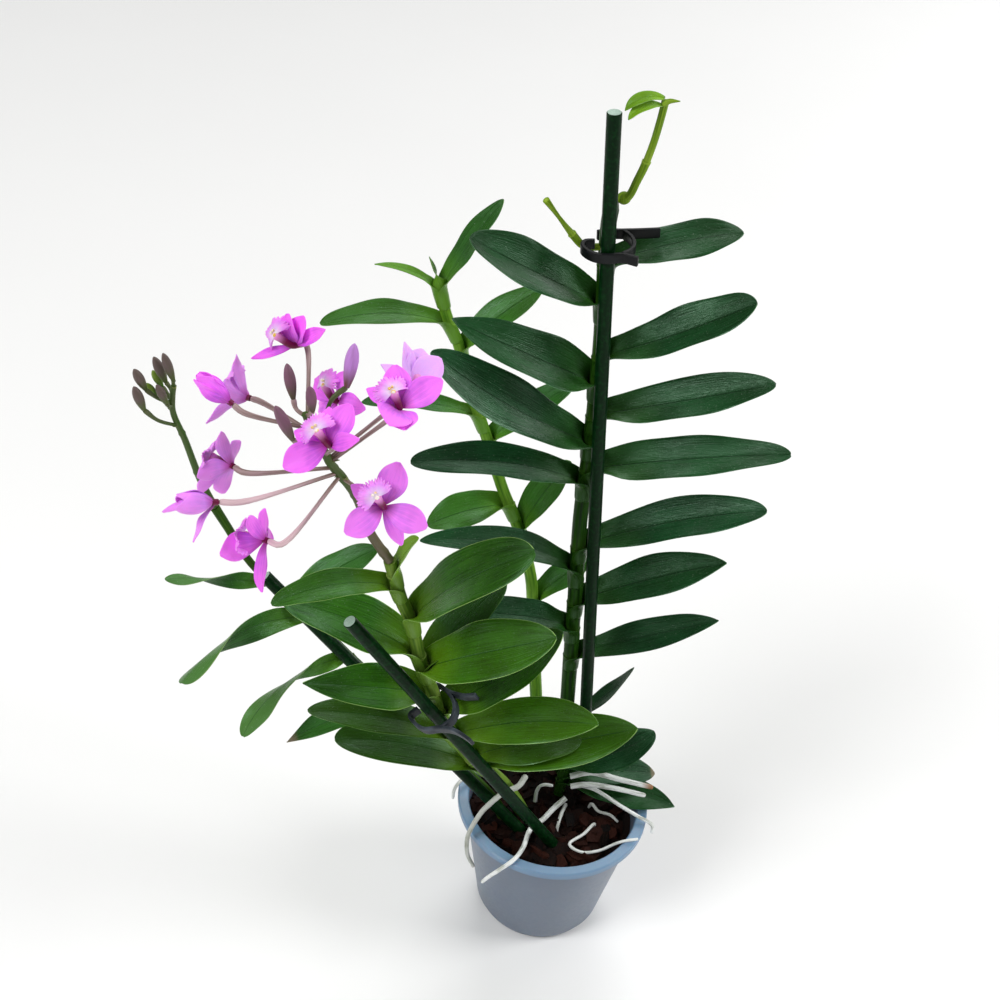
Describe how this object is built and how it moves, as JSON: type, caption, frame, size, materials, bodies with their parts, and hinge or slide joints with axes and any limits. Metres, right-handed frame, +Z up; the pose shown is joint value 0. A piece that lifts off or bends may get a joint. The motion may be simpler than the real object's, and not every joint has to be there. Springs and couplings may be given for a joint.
{
  "type": "potted epidendrum orchid",
  "caption": "Reed-stem orchid in a tapered pot: leafy canes, a spray of pink blooms and a spray of buds, held by green stakes and clips.",
  "frame": {"origin": "middle of the pot's underside", "axes": "+Z up, -Y towards the side that the plant is seen from, -X towards the flower spray"},
  "size_m": [0.3498, 0.2129, 0.5618],
  "materials": {
    "dark_leaf": "waxy leaf, satin",
    "mid_leaf": "waxy leaf, satin",
    "bright_leaf": "waxy leaf, satin",
    "flower_stalk": "smooth plant stalk",
    "bud": "smooth closed bud",
    "petal": "soft petal",
    "stake_coat": "moulded plastic coat",
    "black_clip": "moulded plastic",
    "grey_clip": "moulded plastic",
    "root": "dry spongy root",
    "pot_plastic": "thin moulded plastic, satin",
    "bark": "damp bark chips"
  },
  "bodies": {
    "root": {"tall_cane": "dark_leaf", "middle_cane": "mid_leaf", "flowering_cane": "bright_leaf", "bud_cane": "mid_leaf", "basal_shoot": "dark_leaf", "bloom_01": "petal", "bloom_02": "petal", "bloom_03": "petal", "bloom_04": "petal", "bloom_05": "petal", "bloom_06": "petal", "bloom_07": "petal", "bloom_08": "petal", "bloom_09": "petal", "bloom_10": "petal", "bloom_11": "petal", "flower_spray": "flower_stalk", "bud_spray": "bud", "tall_stake": "stake_coat", "front_stake": "stake_coat", "left_stake": "stake_coat", "tall_clip": "black_clip", "front_clip": "grey_clip", "aerial_root_01": "root", "aerial_root_02": "root", "aerial_root_03": "root", "aerial_root_04": "root", "aerial_root_05": "root", "aerial_root_06": "root", "aerial_root_07": "root", "aerial_root_08": "root", "aerial_root_09": "root", "aerial_root_10": "root", "pot": "pot_plastic", "growing_medium": "bark"}
  },
  "joints": []
}
